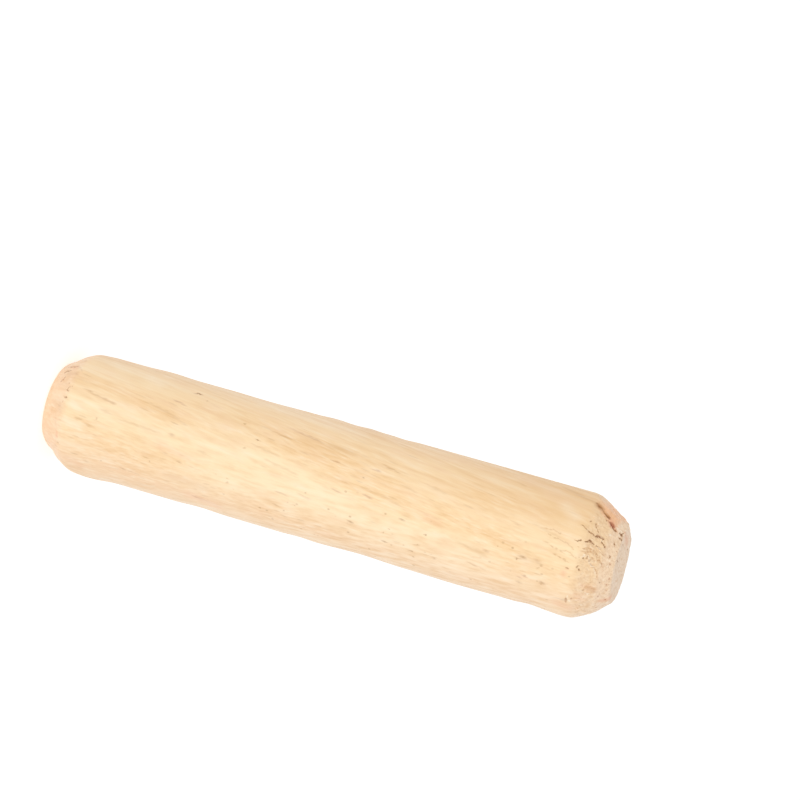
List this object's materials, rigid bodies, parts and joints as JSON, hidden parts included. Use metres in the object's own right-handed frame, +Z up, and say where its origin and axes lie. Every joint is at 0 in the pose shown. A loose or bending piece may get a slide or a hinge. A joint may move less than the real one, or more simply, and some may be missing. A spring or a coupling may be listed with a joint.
{
  "type": "dowel pin",
  "caption": "Plain round wooden dowel pin with chamfered ends, for joining boards edge to edge or at a corner.",
  "frame": {"origin": "centre of the foot face, on the pin's axis, where the pin stands", "axes": "+Z runs up the pin's axis from the foot to the split tip; -Y is the side that the picture looks at"},
  "size_m": [0.008, 0.008, 0.0391],
  "materials": {
    "dowel_wood": "bare pale hardwood, turned smooth on the shank and rough on the end grain"
  },
  "bodies": {
    "root": {"dowel_pin": "dowel_wood"}
  },
  "joints": []
}
